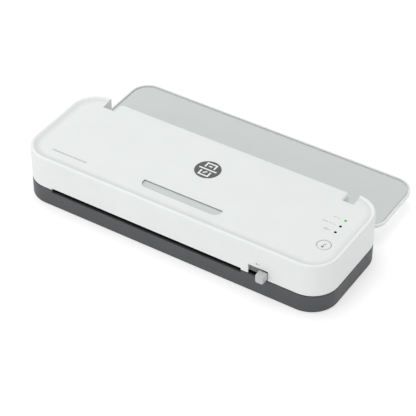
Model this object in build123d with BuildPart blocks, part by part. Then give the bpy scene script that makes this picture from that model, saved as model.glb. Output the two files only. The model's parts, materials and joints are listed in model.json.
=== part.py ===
from build123d import *
from math import acos, cos, degrees, pi, radians, sin, tan
import os

# Pouch laminator with a fold-out input tray, a power button and a jam-release lever.
# Origin on the table below the middle of the casing: +X to the right of a person who
# faces the exit slot, +Y to the rear, where pouches go in, +Z up. All in millimetres.

# ---------------------------------------------------------------- driving dimensions
# Casing
BODY_WIDTH = 366.0
BODY_DEPTH = 125.0
CORNER_RADIUS = 30.0
WALL = 2.5
FOOT_HEIGHT = 2.5
FLOOR_THICKNESS = 2.2
BASE_TOP = 21.2
COVER_BOTTOM = 22.0
RIM_TOP = 60.3
RIM_HEIGHT = 2.3
RIM_CREST = 2.5
RIM_ROLL_RADIUS = 1.0
RIM_BEND_RADIUS = 3.5
RIM_COVE_RADIUS = 22.0
RIM_RUNOUT = radians(18)
PANEL_THICKNESS = 2.5
# Pouch path
THROAT_WIDTH = 232.0
THROAT_X = -26.7
EXIT_BOTTOM = 18.6
EXIT_TOP = 24.4
ENTRY_BOTTOM = 17.6
ENTRY_TOP = 26.4
# Tray, as it stands open
TRAY_HALF_WIDTH = 175.0
TRAY_NEAR = 65.8
TRAY_FAR = 153.2
TRAY_NEAR_RADIUS = 17.0
TRAY_FAR_RADIUS = 22.0
TRAY_TOP = 21.0
TRAY_BOTTOM = 16.9
TRAY_RIM = 2.2
TRAY_FLOOR = 1.3
LINER_THICKNESS = 1.4
LINER_GAP = 1.4
HINGE_Y = 58.5
HINGE_Z = 40.0
PIN_RADIUS = 2.0
BARREL_RADIUS = 4.5
RUNNING_GAP = 0.06
# Hinge notches in the rear of the cover
NOTCH_LEFT = (-152.7, -139.8)
NOTCH_RIGHT = (141.7, 154.2)
NOTCH_FRONT = 46.8
NOTCH_WALL = 2.0
POCKET_FLOOR = 29.0
# Controls
BUTTON_AT = (159.4, -22.6)
BUTTON_RADIUS = 7.5
BUTTON_GAP = 0.25
BUTTON_TRAVEL = 0.8
LIGHT_X = 159.5
LIGHT_YS = (20.7, 10.4, 0.1)
LIGHT_RADIUS = 1.5
BADGE_AT = (0.7, 16.0)
BADGE_RADIUS = 14.2
GRIP_X = 1.9
GRIP_WIDTH = 94.5
GRIP_REAR = -31.6
GRIP_FRONT = -42.5
GRIP_RADIUS = 8.0
GRIP_CORNER_RADIUS = 1.0
WINDOW_LEFT = 97.5
WINDOW_RIGHT = 120.4
WINDOW_TOP = 33.8
KNOB_X = 115.3
KNOB_WIDTH = 9.6
KNOB_FRONT = -71.8
KNOB_TOP = 32.3
KNOB_BOTTOM = 22.3
LEVER_TRAVEL = 12.0
# Rollers and gears
ROLLER_RADIUS = 7.5
SHAFT_RADIUS = 4.0
NIP_GAP = 0.3
NIP_LIFT = 1.2
MODULE = 1.0
PRESSURE_ANGLE = radians(20)
BACKLASH = 0.12
MESH_SLACK = 0.15
ROLLER_TEETH = 15
IDLER_TEETH = 20
PINION_TEETH = 14
GEAR_WIDTH = 7.0
IDLER_ANGLE = 10.0
MOTOR_ANGLE = 50.0

# ---------------------------------------------------------------- derived dimensions
HALF_DEPTH = BODY_DEPTH / 2
FLOOR_TOP = FOOT_HEIGHT + FLOOR_THICKNESS
PANEL_TOP = RIM_TOP - RIM_HEIGHT
PANEL_UNDER = PANEL_TOP - PANEL_THICKNESS
RIM_FALL = RIM_HEIGHT - RIM_COVE_RADIUS * (1 - cos(RIM_RUNOUT))
RIM_TURN = RIM_ROLL_RADIUS + RIM_BEND_RADIUS
RIM_SLOPE = acos((RIM_ROLL_RADIUS + RIM_BEND_RADIUS * cos(RIM_RUNOUT) - RIM_FALL) / RIM_TURN)
THROAT_LEFT = THROAT_X - THROAT_WIDTH / 2
THROAT_RIGHT = THROAT_X + THROAT_WIDTH / 2
PATH_Z = (EXIT_BOTTOM + EXIT_TOP) / 2
LOWER_AXIS_Z = PATH_Z - NIP_GAP / 2 - ROLLER_RADIUS
UPPER_AXIS_Z = PATH_Z + NIP_GAP / 2 + ROLLER_RADIUS
NOTCHES = (NOTCH_LEFT, NOTCH_RIGHT)
LINER_TOP = TRAY_BOTTOM + TRAY_FLOOR + LINER_THICKNESS
SCREW_PLACES = ((-160, -46), (160, -46), (-168, 40), (168, 40))
FOOT_PLACES = ((-135, -46), (135, -46), (-135, 46), (135, 46))

os.makedirs("parts", exist_ok=True)


def finish(piece, name):
    """Labels a finished piece and writes its STEP file."""
    piece.part.label = name
    export_step(piece.part, f"parts/{name}.step")


def casing_outline(inset, mode=Mode.ADD):
    """Plan outline of the casing, moved in by inset, for the sketch being made."""
    RectangleRounded(BODY_WIDTH - 2 * inset, BODY_DEPTH - 2 * inset, CORNER_RADIUS - inset, mode=mode)


def block(x0, x1, y0, y1, z0, z1, mode=Mode.ADD):
    """Box between two corners, for the part being made."""
    with Locations(((x0 + x1) / 2, (y0 + y1) / 2, (z0 + z1) / 2)):
        Box(x1 - x0, y1 - y0, z1 - z0, mode=mode)


def rod(radius, x0, x1, y, z, mode=Mode.ADD):
    """Round bar along X, for the part being made."""
    with Locations(Location(((x0 + x1) / 2, y, z), (0, 90, 0))):
        Cylinder(radius, x1 - x0, mode=mode)


def post(radius, x, y, z0, z1, mode=Mode.ADD):
    """Upright round bar, for the part being made."""
    with Locations((x, y, (z0 + z1) / 2)):
        Cylinder(radius, z1 - z0, mode=mode)


def level_edges(piece, z):
    """Edges of a piece that lie flat at height z."""
    return piece.edges().filter_by(
        lambda e: abs(e.bounding_box().min.Z - z) < 0.01 and abs(e.bounding_box().max.Z - z) < 0.01
    )


# ================================================================= lower casing
TONGUE_INSET = 1.4
TONGUE_HEIGHT = 3.0
BASE_EDGE_RADIUS = 0.7
SKIRT_BOTTOM = 0.6
SEAM_CHAMFER = 0.4
BOSS_RADIUS = 4.5
SCREW_RADIUS = 1.6
SCREW_HEAD_RADIUS = 3.0
SCREW_SHOULDER_Z = 11.0
FOOT_RADIUS = 8.0
FOOT_RECESS = 0.8
BOARD_PLACES = ((142, -34), (174, -34), (142, 24), (174, 24))
BOARD_Z = 9.0
GLAND_X = 146.0
GLAND_Z = 11.6
GLAND_NECK_RADIUS = 5.0
SHIELD_LEFT = WINDOW_LEFT - 4
SHIELD_RIGHT = WINDOW_RIGHT + 4

with BuildPart() as base:
    with BuildSketch(Plane.XY.offset(SKIRT_BOTTOM)):
        casing_outline(0)
    extrude(amount=BASE_TOP - SKIRT_BOTTOM)
    fillet(base.edges().group_by(Axis.Z)[0], BASE_EDGE_RADIUS)
    chamfer(base.edges().group_by(Axis.Z)[-1], SEAM_CHAMFER)
    with BuildSketch(Plane.XY.offset(SKIRT_BOTTOM)):
        casing_outline(WALL)
    extrude(amount=FOOT_HEIGHT - SKIRT_BOTTOM, mode=Mode.SUBTRACT)
    with BuildSketch(Plane.XY.offset(FLOOR_TOP)):
        casing_outline(WALL)
    extrude(amount=BODY_DEPTH, mode=Mode.SUBTRACT)
    with BuildSketch(Plane.XY.offset(BASE_TOP)):
        casing_outline(TONGUE_INSET)
        casing_outline(WALL, Mode.SUBTRACT)
    extrude(amount=TONGUE_HEIGHT)
    # Exit slot, entry slot, lever window and hinge notches interrupt the rim
    block(THROAT_LEFT, THROAT_RIGHT, -HALF_DEPTH - 1, 0, EXIT_BOTTOM, RIM_TOP, Mode.SUBTRACT)
    block(THROAT_LEFT, THROAT_RIGHT, 0, HALF_DEPTH + 1, ENTRY_BOTTOM, RIM_TOP, Mode.SUBTRACT)
    block(THROAT_LEFT - 2, THROAT_RIGHT + 2, -HALF_DEPTH, HALF_DEPTH, BASE_TOP, RIM_TOP, Mode.SUBTRACT)
    block(SHIELD_LEFT, SHIELD_RIGHT, -HALF_DEPTH, 0, BASE_TOP, RIM_TOP, Mode.SUBTRACT)
    for left, right in NOTCHES:
        block(left - 3, right + 3, 0, HALF_DEPTH, BASE_TOP, RIM_TOP, Mode.SUBTRACT)
    # Screw bosses, board posts, foot recesses, gland hole
    for x, y in SCREW_PLACES:
        post(BOSS_RADIUS, x, y, FLOOR_TOP, BASE_TOP)
        post(SCREW_RADIUS, x, y, FOOT_HEIGHT - 1, BASE_TOP + 1, Mode.SUBTRACT)
        post(SCREW_HEAD_RADIUS + 0.3, x, y, FOOT_HEIGHT - 1, SCREW_SHOULDER_Z, Mode.SUBTRACT)
    for x, y in BOARD_PLACES:
        post(3.0, x, y, FLOOR_TOP, BOARD_Z)
    for x, y in FOOT_PLACES:
        post(FOOT_RADIUS, x, y, FOOT_HEIGHT - 1, FOOT_HEIGHT + FOOT_RECESS, Mode.SUBTRACT)
    with Locations(Location((GLAND_X, HALF_DEPTH, GLAND_Z), (90, 0, 0))):
        Cylinder(GLAND_NECK_RADIUS, 4 * WALL, mode=Mode.SUBTRACT)
    # Air slots in the floor, below the heat plates
    with BuildSketch(Plane.XY.offset(FOOT_HEIGHT)):
        with GridLocations(9, 50, 22, 2):
            with Locations((THROAT_X, 0)):
                SlotOverall(30, 3.2, rotation=90)
    extrude(amount=FLOOR_THICKNESS, mode=Mode.SUBTRACT)
finish(base, "base")

with BuildPart() as rubber_feet:
    for x, y in FOOT_PLACES:
        post(FOOT_RADIUS, x, y, 0, FOOT_HEIGHT + FOOT_RECESS)
    fillet(rubber_feet.edges().group_by(Axis.Z)[0], 0.6)
finish(rubber_feet, "rubber_feet")

GLAND_BORE = 3.5
GLAND_FLANGE_RADIUS = 6.2
GLAND_FLANGE = 1.6
GLAND_TAIL = 4.0

with BuildPart() as cord_gland:
    with BuildSketch(Plane.XZ.offset(-HALF_DEPTH + WALL + GLAND_TAIL)):
        with Locations((GLAND_X, GLAND_Z)):
            Circle(GLAND_NECK_RADIUS)
    extrude(amount=-(WALL + GLAND_TAIL + GLAND_FLANGE))
    with BuildSketch(Plane.XZ.offset(-HALF_DEPTH)):
        with Locations((GLAND_X, GLAND_Z)):
            Circle(GLAND_FLANGE_RADIUS)
    extrude(amount=-GLAND_FLANGE)
    fillet(cord_gland.edges().filter_by(GeomType.CIRCLE).sort_by(Axis.Y)[-1], 0.6)
    with BuildSketch(Plane.XZ.offset(-HALF_DEPTH - GLAND_FLANGE)):
        with Locations((GLAND_X, GLAND_Z)):
            Circle(GLAND_BORE)
    extrude(amount=WALL + GLAND_TAIL + GLAND_FLANGE, mode=Mode.SUBTRACT)
finish(cord_gland, "cord_gland")

# ================================================================= upper casing
RIM_EDGE_RADIUS = 2.0
PANEL_EDGE_RADIUS = 3.0
PANEL_CORNER_RADIUS = 4.0
OVERCUT = 1.0
BOSS_TOP = PANEL_UNDER
SEAT_RADIUS = BUTTON_RADIUS + BUTTON_GAP
BADGE_DEPTH = 0.5
GRIP_DEPTH = 2.6
GRIP_LIP = 0.6
GRIP_UNDERCUT = 2.0
GRIP_WALL = 2.0
GRIP_LINER = 0.8
PANEL_LEFT = NOTCH_LEFT[1]
PANEL_RIGHT = NOTCH_RIGHT[0]
CONTROL_BOARD_TOP = 50.5
CONTROL_BOARD_PLACES = ((148, -30), (171, -30), (148, 26), (171, 26))


def grip_outline(inset):
    """Plan outline of the finger recess, moved in by inset: wide curves in front, tight ones behind."""
    with Locations((GRIP_X, (GRIP_REAR + GRIP_FRONT) / 2)):
        Rectangle(GRIP_WIDTH - 2 * inset, GRIP_REAR - GRIP_FRONT - 2 * inset)
    fillet(vertices().group_by(Axis.Y)[0], GRIP_RADIUS - inset)
    fillet(vertices().group_by(Axis.Y)[-1], max(GRIP_CORNER_RADIUS - inset, 0.5))


with BuildPart() as top_cover:
    with BuildSketch(Plane.XY.offset(COVER_BOTTOM)):
        casing_outline(0)
    extrude(amount=RIM_TOP - COVER_BOTTOM)
    fillet(top_cover.edges().group_by(Axis.Z)[-1], RIM_EDGE_RADIUS)
    chamfer(top_cover.edges().group_by(Axis.Z)[0], SEAM_CHAMFER)
    # Inside its crest the rim rolls over, bends back and runs out in a shallow cove
    with BuildSketch(Plane.XY.offset(RIM_TOP), mode=Mode.PRIVATE) as outline:
        casing_outline(0)
    path = outline.sketch.wires()[0]
    with BuildSketch(Plane(origin=path @ 0, x_dir=Vector(0, 0, 1).cross(path % 0), z_dir=path % 0)):
        with BuildLine():
            roll = CenterArc((RIM_CREST, -RIM_ROLL_RADIUS), RIM_ROLL_RADIUS, 90, -degrees(RIM_SLOPE))
            bend = JernArc(roll @ 1, roll % 1, RIM_BEND_RADIUS, degrees(RIM_SLOPE - RIM_RUNOUT))
            cove = JernArc(bend @ 1, bend % 1, RIM_COVE_RADIUS, degrees(RIM_RUNOUT))
            rim_width = (cove @ 1).X
            Polyline(
                cove @ 1,
                (rim_width + OVERCUT, -RIM_HEIGHT),
                (rim_width + OVERCUT, OVERCUT),
                (RIM_CREST, OVERCUT),
                roll @ 0,
            )
        make_face()
    sweep(path=path, mode=Mode.SUBTRACT)
    # The panel lies below the rim, which stops at the notches
    with BuildSketch(Plane.XY.offset(PANEL_TOP)):
        casing_outline(rim_width + OVERCUT / 2)
        with Locations(((PANEL_LEFT + PANEL_RIGHT) / 2, HALF_DEPTH / 2)):
            Rectangle(PANEL_RIGHT - PANEL_LEFT, HALF_DEPTH + 1)
    extrude(amount=RIM_HEIGHT + OVERCUT, mode=Mode.SUBTRACT)
    # Inside
    with BuildSketch(Plane.XY.offset(COVER_BOTTOM)):
        casing_outline(WALL)
    extrude(amount=PANEL_UNDER - COVER_BOTTOM, mode=Mode.SUBTRACT)
    with BuildSketch(Plane.XY.offset(COVER_BOTTOM)):
        casing_outline(TONGUE_INSET - 0.1)
    extrude(amount=TONGUE_HEIGHT - (COVER_BOTTOM - BASE_TOP) + 0.2, mode=Mode.SUBTRACT)
    # Hinge pockets: walls and floor first, then the notches
    for left, right in NOTCHES:
        block(left - NOTCH_WALL, right + NOTCH_WALL, NOTCH_FRONT - NOTCH_WALL, HALF_DEPTH - 1,
              POCKET_FLOOR - NOTCH_WALL, PANEL_UNDER)
        block(left, right, NOTCH_FRONT, HALF_DEPTH + 1, POCKET_FLOOR, RIM_TOP + 1, Mode.SUBTRACT)
    # Round the panel's rear corners, then its edge there and into the notches
    fillet(
        top_cover.edges().filter_by(Axis.Z).filter_by(
            lambda e: abs(e.center().Y - HALF_DEPTH) < 0.1
            and min(abs(e.center().X - PANEL_LEFT), abs(e.center().X - PANEL_RIGHT)) < 0.1
        ),
        PANEL_CORNER_RADIUS,
    )
    fillet(
        level_edges(top_cover, PANEL_TOP).filter_by(
            lambda e: PANEL_LEFT - 0.1 < e.center().X < PANEL_RIGHT + 0.1
            and e.center().Y > NOTCH_FRONT + 0.1
        ),
        PANEL_EDGE_RADIUS,
    )
    for left, right in NOTCHES:
        rod(PIN_RADIUS, left - NOTCH_WALL, right + NOTCH_WALL, HINGE_Y, HINGE_Z, Mode.SUBTRACT)
    # Finger recess: a mouth in the panel, and below its lip a wider space for the fingertips
    with BuildSketch(Plane.XY.offset(PANEL_UNDER - GRIP_DEPTH)):
        grip_outline(-GRIP_UNDERCUT - GRIP_WALL)
    extrude(amount=GRIP_DEPTH)
    with BuildSketch(Plane.XY.offset(PANEL_TOP - GRIP_DEPTH)):
        grip_outline(-GRIP_UNDERCUT)
    extrude(amount=GRIP_DEPTH - GRIP_LIP, mode=Mode.SUBTRACT)
    with BuildSketch(Plane.XY.offset(PANEL_TOP - GRIP_LIP)):
        grip_outline(0)
    extrude(amount=GRIP_LIP, mode=Mode.SUBTRACT)
    # Badge seat, button hole, light holes
    post(BADGE_RADIUS, *BADGE_AT, PANEL_TOP - BADGE_DEPTH, PANEL_TOP + 1, Mode.SUBTRACT)
    post(SEAT_RADIUS, *BUTTON_AT, PANEL_UNDER - 1, PANEL_TOP + 1, Mode.SUBTRACT)
    for y in LIGHT_YS:
        post(LIGHT_RADIUS, LIGHT_X, y, PANEL_UNDER - 1, PANEL_TOP + 1, Mode.SUBTRACT)
    # Screw bosses and control board posts hang from the panel
    for x, y in SCREW_PLACES:
        post(BOSS_RADIUS, x, y, BASE_TOP, BOSS_TOP)
        post(SCREW_RADIUS, x, y, BASE_TOP - 1, BASE_TOP + 14, Mode.SUBTRACT)
    for x, y in CONTROL_BOARD_PLACES:
        post(2.5, x, y, CONTROL_BOARD_TOP, PANEL_UNDER)
    # Exit slot, entry slot and lever window
    slot_front = -HALF_DEPTH - 1, -HALF_DEPTH + 2 * WALL
    slot_rear = HALF_DEPTH - 2 * WALL, HALF_DEPTH + 1
    block(THROAT_LEFT, THROAT_RIGHT, *slot_front, COVER_BOTTOM - 1, EXIT_TOP, Mode.SUBTRACT)
    block(THROAT_LEFT, THROAT_RIGHT, *slot_rear, COVER_BOTTOM - 1, ENTRY_TOP, Mode.SUBTRACT)
    block(WINDOW_LEFT, WINDOW_RIGHT, *slot_front, COVER_BOTTOM - 1, WINDOW_TOP, Mode.SUBTRACT)
finish(top_cover, "top_cover")

with BuildPart() as grip_liner:
    with BuildSketch(Plane.XY.offset(PANEL_TOP - GRIP_DEPTH)):
        grip_outline(0.1 - GRIP_UNDERCUT)
    extrude(amount=GRIP_LINER)
finish(grip_liner, "grip_liner")

with BuildPart() as badge:
    post(BADGE_RADIUS, *BADGE_AT, PANEL_TOP - BADGE_DEPTH, PANEL_TOP + 0.1)
    chamfer(badge.edges().group_by(Axis.Z)[-1], 0.1)
finish(badge, "badge")

with BuildPart() as casing_screws:
    for x, y in SCREW_PLACES:
        post(SCREW_HEAD_RADIUS, x, y, SCREW_SHOULDER_Z - 2.4, SCREW_SHOULDER_Z)
        post(SCREW_RADIUS, x, y, SCREW_SHOULDER_Z, BASE_TOP + 13)
        with Locations((x, y, SCREW_SHOULDER_Z - 2.4)):
            Box(4.0, 0.8, 1.4, mode=Mode.SUBTRACT)
            Box(0.8, 4.0, 1.4, mode=Mode.SUBTRACT)
finish(casing_screws, "casing_screws")

# ================================================================= input tray
ARM_WIDTH = 9.6
ARM_REACH = 3.6
ARM_XS = (-147.2, 147.2)
TRAY_DEPTH = TRAY_FAR - TRAY_NEAR
TRAY_Y = (TRAY_NEAR + TRAY_FAR) / 2


def tray_outline(inset):
    """Plan outline of the open tray, moved in by inset, for the sketch being made."""
    with Locations((0, TRAY_Y)):
        Rectangle(2 * (TRAY_HALF_WIDTH - inset), TRAY_DEPTH - 2 * inset)
    fillet(vertices().group_by(Axis.Y)[0], TRAY_NEAR_RADIUS - inset)
    fillet(vertices().group_by(Axis.Y)[-1], TRAY_FAR_RADIUS - inset)


with BuildPart() as tray_shell:
    with BuildSketch(Plane.XY.offset(TRAY_BOTTOM)):
        tray_outline(0)
    extrude(amount=TRAY_TOP - TRAY_BOTTOM)
    fillet(tray_shell.edges().group_by(Axis.Z)[0], 1.2)
    fillet(tray_shell.edges().group_by(Axis.Z)[-1], 0.5)
    with BuildSketch(Plane.XY.offset(TRAY_BOTTOM + TRAY_FLOOR)):
        tray_outline(TRAY_RIM)
    extrude(amount=TRAY_TOP, mode=Mode.SUBTRACT)
    # The near rim is cut down where pouches slide over it
    block(THROAT_LEFT - 4, THROAT_RIGHT + 4, TRAY_NEAR - 1, TRAY_NEAR + TRAY_RIM + 1,
          LINER_TOP, TRAY_TOP + 1, Mode.SUBTRACT)
    # Hinge arms: a barrel on the pin, and a web down to the near edge
    for middle in ARM_XS:
        with BuildSketch(Plane.YZ.offset(middle - ARM_WIDTH / 2)):
            with Locations((HINGE_Y, HINGE_Z)):
                Circle(BARREL_RADIUS)
            with BuildLine():
                Polyline(
                    (HINGE_Y - 2, HINGE_Z - 4),
                    (TRAY_NEAR - 0.8, HINGE_Z - 10),
                    (TRAY_NEAR, TRAY_TOP - 1),
                    (TRAY_NEAR, TRAY_BOTTOM + 1.2),
                    (TRAY_NEAR + ARM_REACH, TRAY_BOTTOM + 1.2),
                    (TRAY_NEAR + ARM_REACH, HINGE_Z - 7),
                    (HINGE_Y + 3.2, HINGE_Z + 3.1),
                    (HINGE_Y, HINGE_Z),
                    close=True,
                )
            make_face()
        extrude(amount=ARM_WIDTH)
        rod(PIN_RADIUS + RUNNING_GAP, middle - ARM_WIDTH, middle + ARM_WIDTH, HINGE_Y, HINGE_Z,
            Mode.SUBTRACT)
finish(tray_shell, "tray_shell")

with BuildPart() as tray_liner:
    with BuildSketch(Plane.XY.offset(TRAY_BOTTOM + TRAY_FLOOR)):
        tray_outline(TRAY_RIM + LINER_GAP)
        with Locations(*((middle, TRAY_NEAR) for middle in ARM_XS)):
            Rectangle(ARM_WIDTH + 1, 2 * ARM_REACH + 0.6, mode=Mode.SUBTRACT)
    extrude(amount=LINER_THICKNESS)
finish(tray_liner, "tray_liner")

with BuildPart() as hinge_pins:
    for left, right in NOTCHES:
        rod(PIN_RADIUS, left - NOTCH_WALL, right + NOTCH_WALL, HINGE_Y, HINGE_Z)
finish(hinge_pins, "hinge_pins")

# ================================================================= controls
BUTTON_FLANGE_RADIUS = 9.0
BUTTON_FLANGE_TOP = PANEL_UNDER - 0.3
BUTTON_UNDER = PANEL_UNDER - 1.3
SWITCH_TOP = CONTROL_BOARD_TOP + 2.6
PLUNGER_RADIUS = 1.7
PLUNGER_BOTTOM = SWITCH_TOP - 1.1
BOARD_THICKNESS = 1.6

with BuildPart() as power_button:
    post(BUTTON_RADIUS, *BUTTON_AT, BUTTON_UNDER, PANEL_TOP)
    fillet(power_button.edges().group_by(Axis.Z)[-1], 0.4)
    post(BUTTON_FLANGE_RADIUS, *BUTTON_AT, BUTTON_UNDER, BUTTON_FLANGE_TOP)
finish(power_button, "power_button")

with BuildPart() as switch_plunger:
    post(PLUNGER_RADIUS, *BUTTON_AT, PLUNGER_BOTTOM, BUTTON_UNDER)
finish(switch_plunger, "switch_plunger")

with BuildPart() as tact_switch:
    with Locations((*BUTTON_AT, (CONTROL_BOARD_TOP + SWITCH_TOP) / 2)):
        Box(6, 6, SWITCH_TOP - CONTROL_BOARD_TOP)
    post(PLUNGER_RADIUS + RUNNING_GAP, *BUTTON_AT, PLUNGER_BOTTOM - BUTTON_TRAVEL - 0.3,
         SWITCH_TOP + 1, Mode.SUBTRACT)
finish(tact_switch, "tact_switch")

with BuildPart() as control_board:
    block(145, 174, -33, 29, CONTROL_BOARD_TOP - BOARD_THICKNESS, CONTROL_BOARD_TOP)
finish(control_board, "control_board")

with BuildPart() as ready_light:
    post(LIGHT_RADIUS, LIGHT_X, LIGHT_YS[0], CONTROL_BOARD_TOP, PANEL_TOP + 0.05)
finish(ready_light, "ready_light")

with BuildPart() as status_lights:
    for y in LIGHT_YS[1:]:
        post(LIGHT_RADIUS, LIGHT_X, y, CONTROL_BOARD_TOP, PANEL_TOP + 0.05)
finish(status_lights, "status_lights")

# ================================================================= release lever
SHIELD_BOTTOM = 25.0
SHIELD_THICKNESS = 1.4
STEM_BOTTOM = 23.2
STEM_TOP = 24.6
STEM_HALF = 4.0
KNOB_REAR = -HALF_DEPTH - 0.5
KNOB_ROUND = 2.6
KNOB_SLOPE = 1.4
KNOB_EDGE = 0.7
STEM_GRIP = 5.0
LEVER_ARM_LEFT = 114.0
LEVER_ARM_RIGHT = 119.0
BAR_FRONT = -14.0
BAR_REAR = -11.0
BAR_BOTTOM = 26.0
BAR_TOP = 31.0
BAR_LEFT = -158.0
INNER_FRONT = -HALF_DEPTH + WALL

with BuildPart() as lever_shield:
    block(SHIELD_LEFT, SHIELD_RIGHT, INNER_FRONT, INNER_FRONT + SHIELD_THICKNESS,
          SHIELD_BOTTOM, WINDOW_TOP + 4)
finish(lever_shield, "lever_shield")

with BuildPart() as release_knob:
    with BuildSketch(Plane.XZ.offset(-KNOB_REAR)) as knob_face:
        with Locations((KNOB_X, (KNOB_BOTTOM + KNOB_TOP) / 2)):
            Rectangle(KNOB_WIDTH, KNOB_TOP - KNOB_BOTTOM)
        fillet(knob_face.vertices().group_by(Axis.Y)[0], KNOB_ROUND)
    extrude(amount=KNOB_REAR - KNOB_FRONT)
    fillet(release_knob.edges().filter_by(Axis.Z).group_by(Axis.Y)[0], KNOB_ROUND)
    # The top falls away to the front
    with BuildSketch(Plane.YZ.offset(KNOB_X - KNOB_WIDTH)):
        with BuildLine():
            Polyline(
                (KNOB_REAR, KNOB_TOP),
                (KNOB_FRONT - 1, KNOB_TOP - KNOB_SLOPE),
                (KNOB_FRONT - 1, KNOB_TOP + 1),
                (KNOB_REAR, KNOB_TOP + 1),
                close=True,
            )
        make_face()
    extrude(amount=2 * KNOB_WIDTH, mode=Mode.SUBTRACT)
    fillet(release_knob.faces().sort_by(Axis.Y)[0].edges(), KNOB_EDGE)
    block(KNOB_X - STEM_HALF + 1, KNOB_X + STEM_HALF - 1, KNOB_REAR - STEM_GRIP, KNOB_REAR + 1,
          STEM_BOTTOM, STEM_TOP, Mode.SUBTRACT)
finish(release_knob, "release_knob")


def ramp_top(x):
    """Bar with a ramp: it rests under a tab at x, and lifts it as the bar slides left."""
    rise_end = x + LEVER_TRAVEL
    return [(x, BAR_TOP), (rise_end, BAR_TOP + NIP_LIFT), (rise_end + 4, BAR_TOP + NIP_LIFT),
            (rise_end + 6, BAR_TOP)]


# ================================================================= roller frame
FRAME_THICKNESS = 1.5
LEFT_FRAME_X = -155.0
RIGHT_FRAME_X = 99.5
FRAME_FRONT = -20.0
FRAME_REAR = 43.5
FRAME_TOP = 48.0
FRAME_TAB = 10.0
SLOT_HALF = 5.0
SLOT_LOW = 22.6
SLOT_HIGH = 39.0
BUSH_RADIUS = 6.0
TIE_RADIUS = 3.0
TIE_PLACES = ((-15.0, 42.0), (36.0, 42.0))
FRAME_SCREW_YS = (-15.5, 22.0, 38.0)
LEFT_INNER = LEFT_FRAME_X + FRAME_THICKNESS
RIGHT_INNER = RIGHT_FRAME_X
PLATE_FRONT = 12.0
PLATE_REAR = 42.0
TAB_LEFT_X = LEFT_INNER + 4.5
TAB_RIGHT_X = RIGHT_INNER - 4.5


def side_frame(x, inward):
    """Upright steel plate at x..x + thickness, with feet and a spring tab bent inward."""
    face = x + FRAME_THICKNESS if inward > 0 else x
    near, far = sorted((face, face + inward * FRAME_TAB))
    with BuildPart() as frame:
        block(x, x + FRAME_THICKNESS, FRAME_FRONT, FRAME_REAR, FLOOR_TOP, FRAME_TOP)
        chamfer(frame.edges().filter_by(Axis.X).group_by(Axis.Z)[-1], 6)
        block(near, far, -SLOT_HALF, SLOT_HALF, FRAME_TOP - FRAME_THICKNESS, FRAME_TOP)
        for y0, y1 in ((FRAME_FRONT, FRAME_FRONT + 9), (PLATE_FRONT + 4, FRAME_REAR)):
            block(near, far, y0, y1, FLOOR_TOP, FLOOR_TOP + FRAME_THICKNESS)
        middle = (near + far) / 2
        for y in FRAME_SCREW_YS:
            post(SCREW_RADIUS, middle, y, 0, FLOOR_TOP + 3, Mode.SUBTRACT)
        block(x - 1, x + 3, -SLOT_HALF, SLOT_HALF, SLOT_LOW, SLOT_HIGH, Mode.SUBTRACT)
        block(x - 1, x + 3, BAR_FRONT - 0.4, BAR_REAR + 0.4, BAR_BOTTOM - 0.3, BAR_TOP + NIP_LIFT + 0.3,
              Mode.SUBTRACT)
        rod(BUSH_RADIUS, x - 1, x + 3, 0, LOWER_AXIS_Z, Mode.SUBTRACT)
        for y, z in TIE_PLACES:
            rod(TIE_RADIUS, x - 1, x + 3, y, z, Mode.SUBTRACT)
    return frame


left_frame = side_frame(LEFT_FRAME_X, 1)
finish(left_frame, "left_frame")
right_frame = side_frame(RIGHT_FRAME_X, -1)
finish(right_frame, "right_frame")

with BuildPart() as frame_screws:
    for middle in (LEFT_INNER + FRAME_TAB / 2, RIGHT_INNER - FRAME_TAB / 2):
        for y in FRAME_SCREW_YS:
            post(SCREW_RADIUS, middle, y, FLOOR_TOP, FLOOR_TOP + FRAME_THICKNESS)
            post(SCREW_HEAD_RADIUS, middle, y, FLOOR_TOP + FRAME_THICKNESS,
                 FLOOR_TOP + FRAME_THICKNESS + 2)
finish(frame_screws, "frame_screws")

with BuildPart() as tie_rods:
    for y, z in TIE_PLACES:
        rod(TIE_RADIUS, LEFT_FRAME_X - 2, RIGHT_FRAME_X + FRAME_THICKNESS + 2, y, z)
finish(tie_rods, "tie_rods")

with BuildPart() as release_slider:
    with BuildSketch(Plane.XZ.offset(-BAR_REAR)):
        with BuildLine():
            Polyline(
                (BAR_LEFT, BAR_BOTTOM),
                (BAR_LEFT, BAR_TOP),
                *ramp_top(TAB_LEFT_X),
                *ramp_top(TAB_RIGHT_X)[:3],
                (LEVER_ARM_RIGHT, BAR_TOP + NIP_LIFT),
                (LEVER_ARM_RIGHT, BAR_BOTTOM),
                close=True,
            )
        make_face()
    extrude(amount=BAR_REAR - BAR_FRONT)
    with BuildSketch(Plane.YZ.offset(LEVER_ARM_LEFT)):
        with BuildLine():
            Polyline(
                (BAR_REAR - 1, BAR_BOTTOM),
                (INNER_FRONT + 8, BAR_BOTTOM),
                (INNER_FRONT + 4, STEM_BOTTOM),
                (INNER_FRONT + 2, STEM_BOTTOM),
                (INNER_FRONT + 2, BAR_TOP - 1),
                (BAR_REAR - 1, BAR_TOP - 1),
                close=True,
            )
        make_face()
    extrude(amount=LEVER_ARM_RIGHT - LEVER_ARM_LEFT)
    block(KNOB_X - STEM_HALF + 1, KNOB_X + STEM_HALF - 1, KNOB_REAR - STEM_GRIP, INNER_FRONT + 4,
          STEM_BOTTOM, STEM_TOP)
finish(release_slider, "release_slider")

# ================================================================= rollers
BLOCK_HALF = 6.0
BLOCK_BOTTOM = UPPER_AXIS_Z - 6.0
BLOCK_TOP = UPPER_AXIS_Z + 7.0
BLOCK_INNER = 8.4
BLOCK_OUTER = 2.0
SLIDE_GAP = 0.1
TAB_FOOT = 1.0
SLEEVE_LEFT = THROAT_LEFT - 0.4
SLEEVE_RIGHT = THROAT_RIGHT + 0.4
SHAFT_LEFT = LEFT_FRAME_X - 4
GEAR_X = 103.5
SHAFT_RIGHT = GEAR_X + GEAR_WIDTH + 1

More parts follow.
